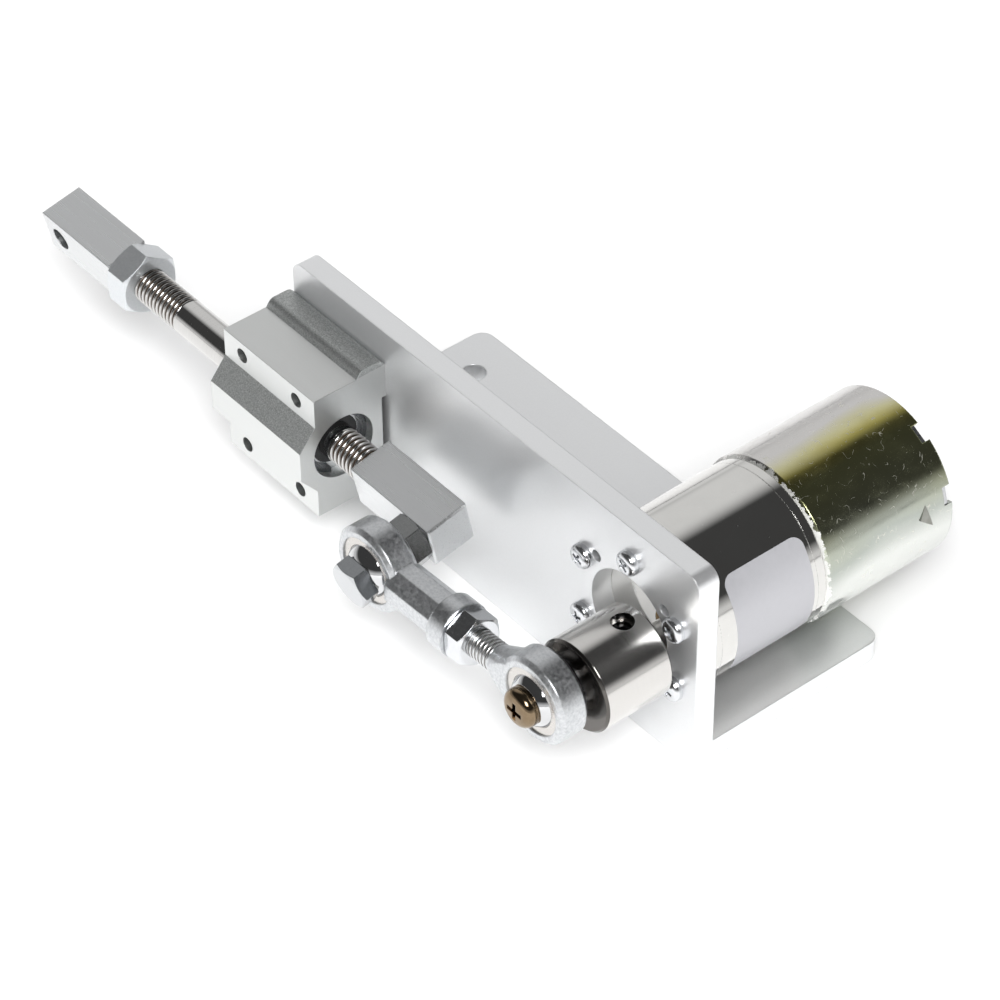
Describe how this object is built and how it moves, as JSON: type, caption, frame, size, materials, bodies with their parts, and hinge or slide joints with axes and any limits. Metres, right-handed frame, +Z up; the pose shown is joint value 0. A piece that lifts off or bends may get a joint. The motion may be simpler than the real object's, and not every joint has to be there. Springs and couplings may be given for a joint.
{
  "type": "electric linear actuator",
  "caption": "Motor-driven crank and slider on an aluminium angle bracket: a geared motor turns a crank hub whose rod pushes a round shaft to and fro in a ball-bushing block.",
  "frame": {"origin": "centre of the base hole pattern on the underside of the bracket", "axes": "+X along the bracket and the slide towards the crank, +Y from the slide to the motor, +Z up"},
  "size_m": [0.1933, 0.1061, 0.05],
  "materials": {
    "anodised_aluminium": "bead-blasted and clear anodised",
    "block_aluminium": "extruded, satin",
    "bar_steel": "drawn square bar, nickel plated",
    "ground_steel": "ground and polished",
    "zinc_steel": "bright zinc plated",
    "dark_steel": "dark plated",
    "forged_zinc": "forged, frosted zinc plate",
    "race_bronze": "pale bronze liner",
    "chrome_ball": "hardened and polished",
    "antique_brass": "antique brass plated",
    "turned_steel": "fine turned",
    "bright_nickel": "bright nickel plated",
    "yellow_zinc": "yellow chromate zinc plate",
    "end_cap_steel": "pressed, zinc plated",
    "gear_steel": "cut teeth, greased",
    "sintered_bronze": "oil-filled sintered bronze",
    "pinion_brass": "cut brass",
    "lamination_steel": "stacked laminations",
    "copper": "enamelled copper",
    "ferrite": "sintered ferrite",
    "carbon": "pressed carbon",
    "black_plastic": "moulded",
    "seal_rubber": "moulded lip"
  },
  "bodies": {
    "frame": {"l_bracket": "anodised_aluminium", "bearing_block": "block_aluminium", "block_screws": "zinc_steel", "bushing_sleeve": "ground_steel", "bushing_cage": "black_plastic", "bushing_balls": "ground_steel", "bushing_seals": "seal_rubber", "block_circlips": "dark_steel", "gearbox_front_plate": "bright_nickel", "output_bush": "sintered_bronze", "gearbox_case": "bright_nickel", "gearbox_rear_plate": "bright_nickel", "gear_pins": "gear_steel", "motor_screws": "zinc_steel", "mount_screws": "zinc_steel", "motor_can": "yellow_zinc", "magnets": "ferrite", "magnet_clips": "end_cap_steel", "brush_holder": "black_plastic", "brushes": "carbon", "brush_springs": "end_cap_steel", "end_cap": "end_cap_steel", "terminals": "pinion_brass", "front_motor_bush": "sintered_bronze", "rear_motor_bush": "sintered_bronze"},
    "rotor": {"motor_shaft": "turned_steel", "rotor_core": "lamination_steel", "rotor_coils": "copper", "commutator": "copper", "motor_pinion": "pinion_brass"},
    "gear_1": {"compound_gear_1": "gear_steel"},
    "gear_2": {"compound_gear_2": "gear_steel"},
    "gear_3": {"compound_gear_3": "gear_steel"},
    "gear_4": {"compound_gear_4": "gear_steel"},
    "crank": {"output_shaft": "turned_steel", "output_wheel": "gear_steel", "crank_hub": "turned_steel", "set_screw": "dark_steel", "crank_screw_thread": "antique_brass"},
    "slider": {"slide_shaft": "ground_steel", "far_bar": "bar_steel", "inner_bar": "bar_steel", "lock_nut": "zinc_steel", "pivot_bolt": "zinc_steel", "pivot_nut": "dark_steel", "pivot_ball": "chrome_ball"},
    "rod": {"female_rod_end": "forged_zinc", "male_rod_end": "forged_zinc", "pivot_race": "race_bronze", "crank_race": "race_bronze", "jam_nut": "zinc_steel", "crank_ball": "chrome_ball", "crank_screw": "antique_brass", "crank_washer": "zinc_steel"}
  },
  "joints": [
    {"name": "rotor_spin", "type": "hinge", "parent": "frame", "child": "rotor", "pos_m": [0.063, 0, 0.026], "axis": [0, 1, 0], "continuous": true},
    {"name": "gear_1_spin", "type": "hinge", "parent": "frame", "child": "gear_1", "pos_m": [0.05717, 0, 0.03022], "axis": [0, 1, 0], "continuous": true},
    {"name": "gear_2_spin", "type": "hinge", "parent": "frame", "child": "gear_2", "pos_m": [0.06331, 0, 0.03397], "axis": [0, 1, 0], "continuous": true},
    {"name": "gear_3_spin", "type": "hinge", "parent": "frame", "child": "gear_3", "pos_m": [0.05717, 0, 0.03022], "axis": [0, 1, 0], "continuous": true},
    {"name": "gear_4_spin", "type": "hinge", "parent": "frame", "child": "gear_4", "pos_m": [0.06331, 0, 0.03397], "axis": [0, 1, 0], "continuous": true},
    {"name": "crank_spin", "type": "hinge", "parent": "frame", "child": "crank", "pos_m": [0.07, 0, 0.026], "axis": [0, 1, 0], "continuous": true},
    {"name": "slide_travel", "type": "slide", "parent": "frame", "child": "slider", "axis": [1, 0, 0], "range_m": [0, 0.005]},
    {"name": "rod_swing", "type": "hinge", "parent": "slider", "child": "rod", "pos_m": [0.017, -0.05268, 0.02299], "axis": [0, -1, 0], "range_deg": [-2.34, 3.33]}
  ],
  "couplings": [
    {"joint": "gear_1_spin", "follows": "rotor_spin", "ratio": -0.38462},
    {"joint": "gear_2_spin", "follows": "rotor_spin", "ratio": 0.14793},
    {"joint": "gear_3_spin", "follows": "rotor_spin", "ratio": -0.056896},
    {"joint": "gear_4_spin", "follows": "rotor_spin", "ratio": 0.021883},
    {"joint": "crank_spin", "follows": "rotor_spin", "ratio": -0.0065649}
  ]
}
